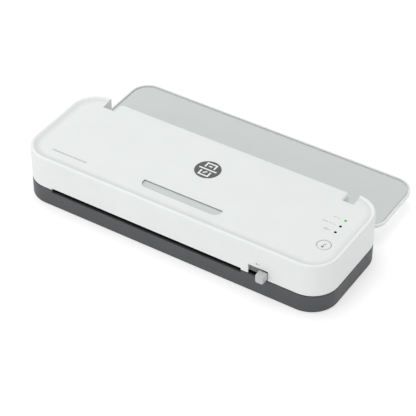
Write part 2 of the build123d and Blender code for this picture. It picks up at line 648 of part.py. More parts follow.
with BuildPart() as bearing_blocks:
    for plate, inward, tab_x in ((LEFT_FRAME_X, 1, TAB_LEFT_X), (RIGHT_FRAME_X, -1, TAB_RIGHT_X)):
        face = plate + FRAME_THICKNESS if inward > 0 else plate
        back = plate if inward > 0 else plate + FRAME_THICKNESS
        inner = sorted((face + inward * SLIDE_GAP, face + inward * BLOCK_INNER))
        outer = sorted((back - inward * SLIDE_GAP, back - inward * (SLIDE_GAP + BLOCK_OUTER)))
        block(*inner, -BLOCK_HALF, BLOCK_HALF, BLOCK_BOTTOM, BLOCK_TOP)
        block(*outer, -BLOCK_HALF, BLOCK_HALF, BLOCK_BOTTOM, BLOCK_TOP)
        ends = sorted((inner[0], inner[1], outer[0], outer[1]))
        block(ends[0], ends[-1], -SLOT_HALF + SLIDE_GAP, SLOT_HALF - SLIDE_GAP, BLOCK_BOTTOM, BLOCK_TOP)
        # Tab over the release bar, with a round foot
        block(tab_x - 2, tab_x + 2, BAR_FRONT, -BLOCK_HALF, BAR_TOP + NIP_LIFT + 0.8, BLOCK_TOP)
        block(tab_x - TAB_FOOT, tab_x + TAB_FOOT, BAR_FRONT, BAR_REAR, BAR_TOP + TAB_FOOT + 0.05,
              BAR_TOP + NIP_LIFT + 0.8)
        foot_place = (tab_x, (BAR_FRONT + BAR_REAR) / 2, BAR_TOP + TAB_FOOT + 0.05)
        with Locations(Location(foot_place, (90, 0, 0))):
            Cylinder(TAB_FOOT, BAR_REAR - BAR_FRONT)
        rod(SHAFT_RADIUS + RUNNING_GAP, ends[0] - 1, ends[-1] + 1, 0, UPPER_AXIS_Z, Mode.SUBTRACT)
        post(1.8, tab_x, 0, BLOCK_TOP, BLOCK_TOP + 3)
finish(bearing_blocks, "bearing_blocks")

SPRING_RADIUS = 2.8
SPRING_WIRE = 0.45
SPRING_TURNS = 4

with BuildPart() as pressure_springs:
    spring_height = FRAME_TOP - FRAME_THICKNESS - BLOCK_TOP - 2 * SPRING_WIRE
    for tab_x in (TAB_LEFT_X, TAB_RIGHT_X):
        with BuildLine(Plane(origin=(tab_x, 0, BLOCK_TOP + SPRING_WIRE))):
            coil = Helix(spring_height / SPRING_TURNS, spring_height, SPRING_RADIUS)
        with BuildSketch(Plane(origin=coil @ 0, z_dir=coil % 0)):
            Circle(SPRING_WIRE)
        sweep(path=coil, is_frenet=True)
finish(pressure_springs, "pressure_springs")

with BuildPart() as lower_bushes:
    for x in (LEFT_FRAME_X, RIGHT_FRAME_X):
        rod(BUSH_RADIUS, x - 0.5, x + FRAME_THICKNESS + 0.5, 0, LOWER_AXIS_Z)
        rod(SHAFT_RADIUS + RUNNING_GAP, x - 3, x + 5, 0, LOWER_AXIS_Z, Mode.SUBTRACT)
finish(lower_bushes, "lower_bushes")

for level, axis_z in (("lower", LOWER_AXIS_Z), ("upper", UPPER_AXIS_Z)):
    with BuildPart() as roller_shaft:
        rod(SHAFT_RADIUS, SHAFT_LEFT, SHAFT_RIGHT, 0, axis_z)
        chamfer(roller_shaft.edges(), 0.5)
    finish(roller_shaft, f"{level}_roller_shaft")
    with BuildPart() as roller_sleeve:
        rod(ROLLER_RADIUS, SLEEVE_LEFT, SLEEVE_RIGHT, 0, axis_z)
        chamfer(roller_sleeve.edges(), 0.4)
        rod(SHAFT_RADIUS, SLEEVE_LEFT, SLEEVE_RIGHT, 0, axis_z, Mode.SUBTRACT)
    finish(roller_sleeve, f"{level}_roller_sleeve")


# ================================================================= gear train
def involute(angle):
    """Involute function of a pressure angle, in radians."""
    return tan(angle) - angle


def tooth_flank(teeth, steps=5):
    """Radius and half-width angle of one tooth flank, from its root to its tip."""
    pitch_radius = MODULE * teeth / 2
    base_radius = pitch_radius * cos(PRESSURE_ANGLE)
    tip_radius = pitch_radius + MODULE
    root_radius = pitch_radius - 1.25 * MODULE
    half_tooth = (pi * MODULE / 2 - BACKLASH) / (2 * pitch_radius)
    start = max(base_radius, root_radius)
    flank = []
    for step in range(steps + 1):
        radius = start + (tip_radius - start) * step / steps
        spread = half_tooth + involute(PRESSURE_ANGLE) - involute(acos(base_radius / radius))
        flank.append((radius, spread))
    return [(root_radius, flank[0][1])] + flank


def gear(teeth, bore, y, z, tooth_angle):
    """Spur gear about X at (y, z), with one tooth centred at tooth_angle degrees from +Y to +Z."""
    flank = tooth_flank(teeth)
    outline = []
    for tooth in range(teeth):
        middle = radians(tooth_angle) + 2 * pi * tooth / teeth
        sides = [(radius, middle - spread) for radius, spread in flank]
        sides += [(radius, middle + spread) for radius, spread in reversed(flank)]
        outline += [(radius * cos(angle), radius * sin(angle)) for radius, angle in sides]
    with BuildPart() as wheel:
        with BuildSketch(Plane(origin=(GEAR_X, y, z), x_dir=(0, 1, 0), z_dir=(1, 0, 0))):
            with BuildLine():
                Polyline(*outline, close=True)
            make_face()
            Circle(bore, mode=Mode.SUBTRACT)
        extrude(amount=GEAR_WIDTH)
    return wheel


def meshed_tooth(tooth_angle, teeth, reach_angle, next_teeth):
    """Tooth angle of the next wheel, at reach_angle from this one, so that their teeth mesh."""
    return reach_angle + 180 + 180 / next_teeth - (tooth_angle - reach_angle) * teeth / next_teeth


LOWER_TOOTH = 90.0
UPPER_TOOTH = meshed_tooth(LOWER_TOOTH, ROLLER_TEETH, 90, ROLLER_TEETH)
IDLER_REACH = MODULE * (ROLLER_TEETH + IDLER_TEETH) / 2 + MESH_SLACK
IDLER_Y = IDLER_REACH * cos(radians(IDLER_ANGLE))
IDLER_Z = LOWER_AXIS_Z + IDLER_REACH * sin(radians(IDLER_ANGLE))
IDLER_TOOTH = meshed_tooth(LOWER_TOOTH, ROLLER_TEETH, IDLER_ANGLE, IDLER_TEETH)
MOTOR_REACH = MODULE * (IDLER_TEETH + PINION_TEETH) / 2 + MESH_SLACK
MOTOR_Y = IDLER_Y + MOTOR_REACH * cos(radians(MOTOR_ANGLE))
MOTOR_Z = IDLER_Z + MOTOR_REACH * sin(radians(MOTOR_ANGLE))
PINION_TOOTH = meshed_tooth(IDLER_TOOTH, IDLER_TEETH, MOTOR_ANGLE, PINION_TEETH)
AXLE_RADIUS = 3.0
MOTOR_SHAFT_RADIUS = 2.5
MOTOR_PLATE_X = 112.5
MOTOR_RADIUS = 21.0
MOTOR_LENGTH = 20.0

lower_roller_gear = gear(ROLLER_TEETH, SHAFT_RADIUS, 0, LOWER_AXIS_Z, LOWER_TOOTH)
finish(lower_roller_gear, "lower_roller_gear")
upper_roller_gear = gear(ROLLER_TEETH, SHAFT_RADIUS, 0, UPPER_AXIS_Z, UPPER_TOOTH)
finish(upper_roller_gear, "upper_roller_gear")
idler_gear = gear(IDLER_TEETH, AXLE_RADIUS + RUNNING_GAP, IDLER_Y, IDLER_Z, IDLER_TOOTH)
finish(idler_gear, "idler_gear")
motor_pinion = gear(PINION_TEETH, MOTOR_SHAFT_RADIUS, MOTOR_Y, MOTOR_Z, PINION_TOOTH)
finish(motor_pinion, "motor_pinion")

with BuildPart() as motor_shaft:
    rod(MOTOR_SHAFT_RADIUS, GEAR_X - 0.5, MOTOR_PLATE_X + 6, MOTOR_Y, MOTOR_Z)
finish(motor_shaft, "motor_shaft")

with BuildPart() as idler_axle:
    rod(AXLE_RADIUS, RIGHT_FRAME_X + FRAME_THICKNESS, MOTOR_PLATE_X, IDLER_Y, IDLER_Z)
finish(idler_axle, "idler_axle")

with BuildPart() as motor_plate:
    block(MOTOR_PLATE_X, MOTOR_PLATE_X + FRAME_THICKNESS, 8, 54, FLOOR_TOP, 52)
    block(MOTOR_PLATE_X, MOTOR_PLATE_X + 12, 18, 44, FLOOR_TOP, FLOOR_TOP + FRAME_THICKNESS)
    rod(MOTOR_SHAFT_RADIUS + 1.5, MOTOR_PLATE_X - 1, MOTOR_PLATE_X + 3, MOTOR_Y, MOTOR_Z, Mode.SUBTRACT)
finish(motor_plate, "motor_plate")

with BuildPart() as gear_motor:
    rod(MOTOR_RADIUS, MOTOR_PLATE_X + FRAME_THICKNESS, MOTOR_PLATE_X + MOTOR_LENGTH, MOTOR_Y, MOTOR_Z)
    fillet(gear_motor.edges().filter_by(GeomType.CIRCLE).sort_by(Axis.X)[-1], 2)
    rod(MOTOR_SHAFT_RADIUS + RUNNING_GAP, MOTOR_PLATE_X, MOTOR_PLATE_X + 6.5, MOTOR_Y, MOTOR_Z,
        Mode.SUBTRACT)
finish(gear_motor, "gear_motor")

# ================================================================= heat plates and guides
HEAT_GAP = 3.0
HEAT_PLATE = 4.0
HEATER_THICKNESS = 3.0
HEATER_ENDS = (-120.0, 66.0)
HEATER_YS = (18.0, 32.0)
LOWER_PLATE_TOP = PATH_Z - HEAT_GAP / 2
UPPER_PLATE_UNDER = PATH_Z + HEAT_GAP / 2

for level, plate_z, heater_z in (
    ("lower", LOWER_PLATE_TOP - HEAT_PLATE, LOWER_PLATE_TOP - HEAT_PLATE - HEATER_THICKNESS),
    ("upper", UPPER_PLATE_UNDER, UPPER_PLATE_UNDER + HEAT_PLATE),
):
    with BuildPart() as heat_plate:
        block(LEFT_INNER, RIGHT_INNER, PLATE_FRONT, PLATE_REAR, plate_z, plate_z + HEAT_PLATE)
        chamfer(heat_plate.edges().filter_by(Axis.X), 0.8)
    finish(heat_plate, f"{level}_heat_plate")
    with BuildPart() as heater:
        block(*HEATER_ENDS, *HEATER_YS, heater_z, heater_z + HEATER_THICKNESS)
    finish(heater, f"{level}_heater")

UPPER_PLATE_TOP = UPPER_PLATE_UNDER + HEAT_PLATE

with BuildPart() as thermostat:
    post(6.0, 80, 28, UPPER_PLATE_TOP, UPPER_PLATE_TOP + 6)
    post(4.5, 80, 28, UPPER_PLATE_TOP + 6, UPPER_PLATE_TOP + 10)
finish(thermostat, "thermostat")

with BuildPart() as thermal_fuse:
    rod(2.0, -60, -46, 38, UPPER_PLATE_TOP + 2)
    rod(0.5, -72, -60, 38, UPPER_PLATE_TOP + 2)
    rod(0.5, -46, -34, 38, UPPER_PLATE_TOP + 2)
finish(thermal_fuse, "thermal_fuse")

GUIDE = 1.0
GUIDE_OUT = HALF_DEPTH - 0.6
ROLLER_SIDE = 9.0


def guide(points):
    """Thin sheet across the throat: its section in YZ, pushed along X."""
    with BuildPart() as sheet:
        with BuildSketch(Plane.YZ.offset(THROAT_LEFT)):
            with BuildLine():
                Polyline(*points, close=True)
            make_face()
        extrude(amount=THROAT_WIDTH)
    return sheet


entry_guide_lower = guide([
    (GUIDE_OUT, ENTRY_BOTTOM), (GUIDE_OUT, ENTRY_BOTTOM + GUIDE),
    (PLATE_REAR, LOWER_PLATE_TOP - 0.9), (PLATE_REAR, LOWER_PLATE_TOP - 0.9 - GUIDE)])
finish(entry_guide_lower, "entry_guide_lower")
entry_guide_upper = guide([
    (GUIDE_OUT, ENTRY_TOP), (GUIDE_OUT, ENTRY_TOP - GUIDE),
    (PLATE_REAR, UPPER_PLATE_UNDER + 0.9), (PLATE_REAR, UPPER_PLATE_UNDER + 0.9 + GUIDE)])
finish(entry_guide_upper, "entry_guide_upper")
exit_guide_lower = guide([
    (-HALF_DEPTH + WALL, EXIT_BOTTOM - GUIDE), (-HALF_DEPTH + WALL, EXIT_BOTTOM),
    (-ROLLER_SIDE, EXIT_BOTTOM + 1.2), (-ROLLER_SIDE, EXIT_BOTTOM + 1.2 - GUIDE)])
finish(exit_guide_lower, "exit_guide_lower")
exit_guide_upper = guide([
    (-HALF_DEPTH + WALL, EXIT_TOP), (-HALF_DEPTH + WALL, EXIT_TOP + GUIDE),
    (-ROLLER_SIDE, EXIT_TOP + GUIDE - 0.6), (-ROLLER_SIDE, EXIT_TOP - 0.6)])
finish(exit_guide_upper, "exit_guide_upper")

# ================================================================= power electronics
BOARD_TOP = BOARD_Z + BOARD_THICKNESS

with BuildPart() as power_board:
    block(138, 178, -38, 28, BOARD_Z, BOARD_TOP)
finish(power_board, "power_board")

with BuildPart() as power_components:
    block(142, 162, -12, 6, BOARD_TOP, BOARD_TOP + 16)
    block(166, 176, -30, -8, BOARD_TOP, BOARD_TOP + 12)
    post(6.0, 170, 4, BOARD_TOP, BOARD_TOP + 18)
    post(4.0, 170, 18, BOARD_TOP, BOARD_TOP + 10)
    block(142, 158, 12, 24, BOARD_TOP, BOARD_TOP + 11)
finish(power_components, "power_components")
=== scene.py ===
import json
import math

import bmesh
import bpy
from mathutils import Matrix, Vector


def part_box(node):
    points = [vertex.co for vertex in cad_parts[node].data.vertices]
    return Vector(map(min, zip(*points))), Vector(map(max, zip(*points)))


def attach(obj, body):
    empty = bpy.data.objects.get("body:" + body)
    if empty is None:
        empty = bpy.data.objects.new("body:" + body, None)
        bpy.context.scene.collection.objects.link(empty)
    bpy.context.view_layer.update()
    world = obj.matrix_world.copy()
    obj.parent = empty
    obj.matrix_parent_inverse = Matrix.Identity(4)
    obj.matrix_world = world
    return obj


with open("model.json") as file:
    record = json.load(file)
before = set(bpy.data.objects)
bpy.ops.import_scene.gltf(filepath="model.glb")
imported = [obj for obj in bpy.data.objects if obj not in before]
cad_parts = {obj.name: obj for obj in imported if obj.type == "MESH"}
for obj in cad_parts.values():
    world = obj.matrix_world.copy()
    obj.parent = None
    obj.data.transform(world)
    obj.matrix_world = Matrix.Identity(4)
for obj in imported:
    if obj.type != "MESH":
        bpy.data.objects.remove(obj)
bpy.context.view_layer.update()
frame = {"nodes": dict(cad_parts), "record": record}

NODES = frame["nodes"]
MM = 0.001

# ------------------------------------------------------------------ camera and light, in metres
IMAGE_SIDE = 416
AZIMUTH = math.radians(32.54)
ELEVATION = math.radians(39.74)
FOCAL_PX = 1701.6
DISTANCE = 1.7447
TARGET = Vector((0.0158, -0.0074, 0.030))
SENSOR_MM = 36.0

# ------------------------------------------------------------------ cover's rim and its painted shade and highlight, in millimetres
RIM_SPAN = 2.3
# Height above the panel and the factor on the colour there: painted shade darkens the cove, a painted
# highlight makes the roll of the rim paler
RIM_PAINTED_SHADE_AND_HIGHLIGHT = (
    (0, 1.0),
    (0.04, 0.975),
    (0.25, 0.94),
    (0.5, 0.91),
    (0.85, 0.87),
    (1.1, 0.9),
    (1.35, 1.02),
    (2.0, 1.07),
    (RIM_SPAN, 1.06),
)
# Painted highlight on the rim's outer edge: colour factor at the rim's top, and the inset band over which
# it gives way to the painted shade of the hollow
EDGE_PAINTED_HIGHLIGHT = 1.05
EDGE_HIGHLIGHT_BAND = (2.2, 3.0)
CORNER_RADIUS = 30.0

# ------------------------------------------------------------------ printed signs, in millimetres
INK_HEIGHT = 0.04
STROKE = 0.5
BADGE_STROKE = 1.8
RING_STEPS = 48
LABEL_GAP = 5.6
LABEL_HEIGHT = 1.9
STRIP_AT = (-154.0, -43.0)
STRIP_LENGTH = 44.0
STRIP_HEIGHT = 2.3
STRIP_PITCH = 1.9
LEVER_SIGN_AT = (108.9, 38.4)


def add_camera():
    """Camera above and to the right of the front, looking down at the machine."""
    data = bpy.data.cameras.new("camera")
    data.sensor_width = SENSOR_MM
    data.lens = FOCAL_PX * SENSOR_MM / IMAGE_SIDE
    data.clip_end = 20
    camera = bpy.data.objects.new("camera", data)
    bpy.context.scene.collection.objects.link(camera)
    back = Vector((
        math.sin(AZIMUTH) * math.cos(ELEVATION),
        -math.cos(AZIMUTH) * math.cos(ELEVATION),
        math.sin(ELEVATION),
    ))
    camera.location = TARGET + back * DISTANCE
    camera.rotation_euler = back.to_track_quat("Z", "Y").to_euler()
    bpy.context.scene.camera = camera


def add_floor():
    """Plain white floor, bright enough that only a faint shadow shows."""
    bpy.ops.mesh.primitive_plane_add(size=12, location=(0, 0, 0))
    floor = bpy.context.object
    floor.name = "floor"
    material, _, shader = new_material("floor_paper", 0.9)
    shader.inputs["Base Color"].default_value = (0.6, 0.6, 0.6, 1)
    shader.inputs["Specular IOR Level"].default_value = 0.0
    shader.inputs["Emission Color"].default_value = (1, 1, 1, 1)
    shader.inputs["Emission Strength"].default_value = 0.52
    floor.data.materials.append(material)


def area_light(name, place, size, power, aim=(0, 0, 0.03)):
    data = bpy.data.lights.new(name, "AREA")
    data.shape = "RECTANGLE"
    data.size, data.size_y = size
    data.energy = power
    light = bpy.data.objects.new(name, data)
    bpy.context.scene.collection.objects.link(light)
    light.location = place
    light.rotation_euler = (Vector(place) - Vector(aim)).to_track_quat("Z", "Y").to_euler()


def add_lights():
    """Even white surroundings, a broad light overhead, and weaker ones from front left and front right."""
    world = bpy.data.worlds.new("studio")
    bpy.context.scene.world = world
    world.use_nodes = True
    background = world.node_tree.nodes["Background"]
    background.inputs["Color"].default_value = (1, 1, 1, 1)
    background.inputs["Strength"].default_value = 0.58
    area_light("overhead", (-0.5, 0.1, 2.2), (2.0, 2.0), 25)
    area_light("front_fill", (-0.9, -1.9, 0.9), (1.2, 0.9), 6)
    area_light("corner_fill", (1.3, -1.5, 0.6), (0.5, 0.8), 1.4)


# ------------------------------------------------------------------ node helpers
def new_material(name, roughness, metallic=0.0):
    material = bpy.data.materials.new(name)
    material.use_nodes = True
    shader = material.node_tree.nodes["Principled BSDF"]
    shader.inputs["Roughness"].default_value = roughness
    shader.inputs["Metallic"].default_value = metallic
    return material, material.node_tree, shader


def place_in(tree, stretch=(1, 1, 1)):
    """Object coordinates, stretched."""
    coords = tree.nodes.new("ShaderNodeTexCoord")
    mapping = tree.nodes.new("ShaderNodeMapping")
    mapping.inputs["Scale"].default_value = stretch
    tree.links.new(coords.outputs["Object"], mapping.inputs["Vector"])
    return mapping.outputs["Vector"]


def noise(tree, scale, detail=2.0, stretch=(1, 1, 1)):
    texture = tree.nodes.new("ShaderNodeTexNoise")
    texture.inputs["Scale"].default_value = scale
    texture.inputs["Detail"].default_value = detail
    tree.links.new(place_in(tree, stretch), texture.inputs["Vector"])
    return texture.outputs["Fac"]


def between(tree, factor, low, high):
    """Number that runs from low to high as the factor runs over the middle of the noise."""
    ramp = tree.nodes.new("ShaderNodeMapRange")
    ramp.inputs["From Min"].default_value = 0.3
    ramp.inputs["From Max"].default_value = 0.7
    ramp.inputs["To Min"].default_value = low
    ramp.inputs["To Max"].default_value = high
    tree.links.new(factor, ramp.inputs["Value"])
    return ramp.outputs["Result"]


def mix_color(tree, factor, first, second):
    mix = tree.nodes.new("ShaderNodeMix")
    mix.data_type = "RGBA"
    mix.inputs["A"].default_value = (*first, 1)
    mix.inputs["B"].default_value = (*second, 1)
    tree.links.new(factor, mix.inputs["Factor"])
    return mix.outputs["Result"]


def add_relief(tree, shader, height, strength, distance):
    bump = tree.nodes.new("ShaderNodeBump")
    bump.inputs["Strength"].default_value = strength
    bump.inputs["Distance"].default_value = distance
    tree.links.new(height, bump.inputs["Height"])
    tree.links.new(bump.outputs["Normal"], shader.inputs["Normal"])


def multiply(tree, color, factor):
    mix = tree.nodes.new("ShaderNodeMix")
    mix.data_type = "RGBA"
    mix.blend_type = "MULTIPLY"
    mix.inputs["Factor"].default_value = 1.0
    tree.links.new(color, mix.inputs["A"])
    tree.links.new(factor, mix.inputs["B"])
    return mix.outputs["Result"]


def vector_step(tree, operation, first, second=None):
    step = tree.nodes.new("ShaderNodeVectorMath")
    step.operation = operation
    tree.links.new(first, step.inputs[0])
    if second is not None:
        step.inputs[1].default_value = second
    return step


def inset_of(tree, place, node):
    """How far a point lies inside the rounded outline of a piece that is centred on its own origin."""
    low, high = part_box(node)
    radius = CORNER_RADIUS * MM
    core = ((high.x - low.x) / 2 - radius, (high.y - low.y) / 2 - radius, 1.0)
    spread = vector_step(tree, "ABSOLUTE", place)
    beyond = vector_step(tree, "SUBTRACT", spread.outputs["Vector"], core)
    corner = vector_step(tree, "MAXIMUM", beyond.outputs["Vector"], (0, 0, 0))
    reach = vector_step(tree, "LENGTH", corner.outputs["Vector"])
    inset = tree.nodes.new("ShaderNodeMath")
    inset.operation = "SUBTRACT"
    inset.inputs[0].default_value = radius
    tree.links.new(reach.outputs["Value"], inset.inputs[1])
    return inset.outputs["Value"]


def paint_rim_shade_and_highlight(tree, color, node):
    """The colour with painted shade, deeper in the hollow inside a raised rim, and a painted highlight,
    paler on the rim's outer edge.
    """
    coords = tree.nodes.new("ShaderNodeTexCoord")
    split = tree.nodes.new("ShaderNodeSeparateXYZ")
    tree.links.new(coords.outputs["Object"], split.inputs["Vector"])
    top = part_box(node)[1].z - NODES[node].matrix_world.translation.z
    span = tree.nodes.new("ShaderNodeMapRange")
    span.inputs["From Min"].default_value = top - RIM_SPAN * MM
    span.inputs["From Max"].default_value = top
    tree.links.new(split.outputs["Z"], span.inputs["Value"])
    # painted shade in the hollow: colour factor by height above the panel
    hollow = tree.nodes.new("ShaderNodeValToRGB")
    tree.links.new(span.outputs["Result"], hollow.inputs["Fac"])
    stops = hollow.color_ramp.elements
    for height, _ in RIM_PAINTED_SHADE_AND_HIGHLIGHT[1:-1]:
        stops.new(height / RIM_SPAN)
    for stop, (_, tone) in zip(stops, RIM_PAINTED_SHADE_AND_HIGHLIGHT):
        stop.color = (tone, tone, tone, 1)
    edge = tree.nodes.new("ShaderNodeMapRange")
    edge.inputs["From Min"].default_value = EDGE_HIGHLIGHT_BAND[0] * MM
    edge.inputs["From Max"].default_value = EDGE_HIGHLIGHT_BAND[1] * MM
    tree.links.new(inset_of(tree, coords.outputs["Object"], node), edge.inputs["Value"])
    # painted highlight on the outer edge: paler towards the rim's top
    above = tree.nodes.new("ShaderNodeMapRange")
    above.inputs["To Min"].default_value = 1.0
    above.inputs["To Max"].default_value = EDGE_PAINTED_HIGHLIGHT
    tree.links.new(span.outputs["Result"], above.inputs["Value"])
    # painted highlight near the outer edge, painted shade of the hollow further in
    choice = tree.nodes.new("ShaderNodeMix")
    choice.data_type = "RGBA"
    tree.links.new(edge.outputs["Result"], choice.inputs["Factor"])
    tree.links.new(above.outputs["Result"], choice.inputs["A"])
    tree.links.new(hollow.outputs["Color"], choice.inputs["B"])
    return multiply(tree, color, choice.outputs["Result"])


def shade(color, amount):
    return [min(1.0, part * (1 + amount)) for part in color]


# ------------------------------------------------------------------ materials
def moulded(name, color, roughness, grain=1400.0, relief=0.12, spread=0.012, gloss=0.5, painted_rim_of=None):
    """Moulded plastic: spark-eroded texture in relief and gloss, faint cloudiness in the colour. Given a
    piece with a rim, the colour also gets painted shade in the hollow inside the rim and a painted
    highlight on its edge.
    """
    material, tree, shader = new_material(name, roughness)
    shader.inputs["Specular IOR Level"].default_value = gloss
    cloud = between(tree, noise(tree, 30, 3), 0, 1)
    tone = mix_color(tree, cloud, shade(color, -spread), shade(color, spread))
    # painted shade and painted highlight by the rim's height, multiplied into the colour
    if painted_rim_of:
        tone = paint_rim_shade_and_highlight(tree, tone, painted_rim_of)
    tree.links.new(tone, shader.inputs["Base Color"])
    fine = noise(tree, grain, 3)
    tree.links.new(between(tree, fine, roughness - 0.05, roughness + 0.05), shader.inputs["Roughness"])
    add_relief(tree, shader, fine, relief, 0.00005)
    return material


def brushed(name, color, roughness, stretch, spread=0.12):
    """Metal with fine lines along one way, from rolling or turning."""
    material, tree, shader = new_material(name, roughness, metallic=1.0)
    lines = noise(tree, 900, 4, stretch)
    streaks = between(tree, lines, 0, 1)
    tree.links.new(mix_color(tree, streaks, shade(color, -spread), shade(color, spread)),
                   shader.inputs["Base Color"])
    tree.links.new(between(tree, lines, roughness - 0.08, roughness + 0.1), shader.inputs["Roughness"])
    add_relief(tree, shader, lines, 0.15, 0.00003)
    return material


def rubber(name, color, roughness, grain):
    """Soft rubber: matt, with a fine ground surface and paler bloom in patches."""
    material, tree, shader = new_material(name, roughness)
    bloom = between(tree, noise(tree, 60, 5), 0, 1)
    tree.links.new(mix_color(tree, bloom, shade(color, -0.15), shade(color, 0.25)),
                   shader.inputs["Base Color"])
    fine = noise(tree, grain, 4)
    tree.links.new(between(tree, fine, roughness - 0.08, roughness + 0.08), shader.inputs["Roughness"])
    add_relief(tree, shader, fine, 0.3, 0.00008)
    return material


def circuit_board(name, mask, track):
    """Solder mask with paler tracks under it and scattered tinned pads."""
    material, tree, shader = new_material(name, 0.35)
    bricks = tree.nodes.new("ShaderNodeTexBrick")
    bricks.inputs["Scale"].default_value = 160
    bricks.inputs["Mortar Size"].default_value = 0.06
    bricks.inputs["Color1"].default_value = (*mask, 1)
    bricks.inputs["Color2"].default_value = (*shade(mask, 0.2), 1)
    bricks.inputs["Mortar"].default_value = (*track, 1)
    tree.links.new(place_in(tree), bricks.inputs["Vector"])
    pads = tree.nodes.new("ShaderNodeTexVoronoi")
    pads.inputs["Scale"].default_value = 240
    tree.links.new(place_in(tree), pads.inputs["Vector"])
    dots = tree.nodes.new("ShaderNodeMath")
    dots.operation = "LESS_THAN"
    dots.inputs[1].default_value = 0.22
    tree.links.new(pads.outputs["Distance"], dots.inputs[0])
    mix = tree.nodes.new("ShaderNodeMix")
    mix.data_type = "RGBA"
    mix.inputs["B"].default_value = (0.62, 0.62, 0.6, 1)
    tree.links.new(bricks.outputs["Color"], mix.inputs["A"])
    tree.links.new(dots.outputs["Value"], mix.inputs["Factor"])
    tree.links.new(mix.outputs["Result"], shader.inputs["Base Color"])
    add_relief(tree, shader, bricks.outputs["Fac"], 0.3, 0.00004)
    return material


def heater_film(name, film, trace):
    """Amber film over a folded heating track."""
    material, tree, shader = new_material(name, 0.3)
    waves = tree.nodes.new("ShaderNodeTexWave")
    waves.bands_direction = "X"
    waves.inputs["Scale"].default_value = 90
    waves.inputs["Distortion"].default_value = 0.6
    tree.links.new(place_in(tree), waves.inputs["Vector"])
    tree.links.new(mix_color(tree, waves.outputs["Fac"], film, trace), shader.inputs["Base Color"])
    add_relief(tree, shader, waves.outputs["Fac"], 0.25, 0.00006)
    return material


def light_window(name, color, glow):
    """Glossy light pipe, lit when it has a glow, with a moulded sparkle inside."""
    material, tree, shader = new_material(name, 0.2)
    shader.inputs["Specular IOR Level"].default_value = 0.15
    sparkle = between(tree, noise(tree, 700, 2), 0, 1)
    tree.links.new(mix_color(tree, sparkle, shade(color, -0.1), shade(color, 0.1)),
                   shader.inputs["Base Color"])
    tree.links.new(between(tree, sparkle, 0.16, 0.26), shader.inputs["Roughness"])
    shader.inputs["Emission Color"].default_value = (*color, 1)
    shader.inputs["Emission Strength"].default_value = glow
    return material


def ink(name, color):
    """Printed ink: slightly uneven film."""
    material, tree, shader = new_material(name, 0.55)
    film = between(tree, noise(tree, 2500, 2), 0, 1)
    tree.links.new(mix_color(tree, film, shade(color, -0.05), shade(color, 0.05)),
                   shader.inputs["Base Color"])
    tree.links.new(between(tree, film, 0.48, 0.62), shader.inputs["Roughness"])
    return material


def make_finishes():
    """One material for each of the record's slots."""
    return {
        # the cover's colour has painted shade inside its rim and a painted highlight on its edge
        "cover_white": moulded("cover_white", (0.79, 0.815, 0.80), 0.5, painted_rim_of="top_cover"),
        "tray_white": moulded("tray_white", (0.80, 0.825, 0.81), 0.45),
        "button_white": moulded("button_white", (0.79, 0.815, 0.80), 0.42, grain=2200, relief=0.05),
        "base_grey": moulded("base_grey", (0.078, 0.081, 0.085), 0.48, relief=0.25, spread=0.04, gloss=0.3),
        "liner_grey": moulded("liner_grey", (0.61, 0.635, 0.625), 0.55, grain=1800, relief=0.2),
        "knob_grey": moulded("knob_grey", (0.52, 0.54, 0.53), 0.45, relief=0.08),
        "shield_grey": moulded("shield_grey", (0.15, 0.153, 0.156), 0.5),
        "badge_grey": moulded("badge_grey", (0.1, 0.103, 0.109), 0.4, grain=2600, relief=0.05, spread=0.03),
        "black_plastic": moulded("black_plastic", (0.018, 0.018, 0.019), 0.5, relief=0.2, gloss=0.3),
        "nylon": moulded("nylon", (0.8, 0.78, 0.7), 0.4, grain=900, relief=0.1, spread=0.03),
        "foot_rubber": rubber("foot_rubber", (0.045, 0.045, 0.047), 0.75, 1200),
        "silicone": rubber("silicone", (0.42, 0.09, 0.055), 0.55, 1800),
        "steel": brushed("steel", (0.56, 0.57, 0.58), 0.32, (0.08, 1, 1)),
        "aluminium": brushed("aluminium", (0.74, 0.75, 0.76), 0.36, (0.05, 1, 1), spread=0.06),
        "brass": brushed("brass", (0.72, 0.52, 0.24), 0.34, (0.3, 1, 1)),
        "board_green": circuit_board("board_green", (0.015, 0.14, 0.05), (0.05, 0.3, 0.12)),
        "heater_foil": heater_film("heater_foil", (0.6, 0.24, 0.05), (0.5, 0.4, 0.28)),
        "light_green": light_window("light_green", (0.0, 0.42, 0.03), 0.35),
        "light_dark": light_window("light_dark", (0.004, 0.004, 0.004), 0.0),
    }


def dress_nodes(finishes):
    for part in frame["record"]["subparts"]:
        mesh = NODES[part["node"]].data
        mesh.materials.clear()
        mesh.materials.append(finishes[part["material_slot"]])


# ------------------------------------------------------------------ strokes
def arc(x, y, radius, start=0.0, end=360.0):
    """Points round an arc, in degrees."""
    steps = max(4, round(RING_STEPS * abs(end - start) / 360))
    angles = [math.radians(start + (end - start) * i / steps) for i in range(steps + 1)]
    return [(x + radius * math.cos(a), y + radius * math.sin(a)) for a in angles]


def rounded_box(x0, x1, y0, y1, radius):
    """Points round a rectangle with rounded corners, back to the first."""
    corners = ((x1 - radius, y1 - radius, 0), (x0 + radius, y1 - radius, 90),
               (x0 + radius, y0 + radius, 180), (x1 - radius, y0 + radius, 270))
    points = [p for x, y, start in corners for p in arc(x, y, radius, start, start + 90)]
    return points + points[:1]


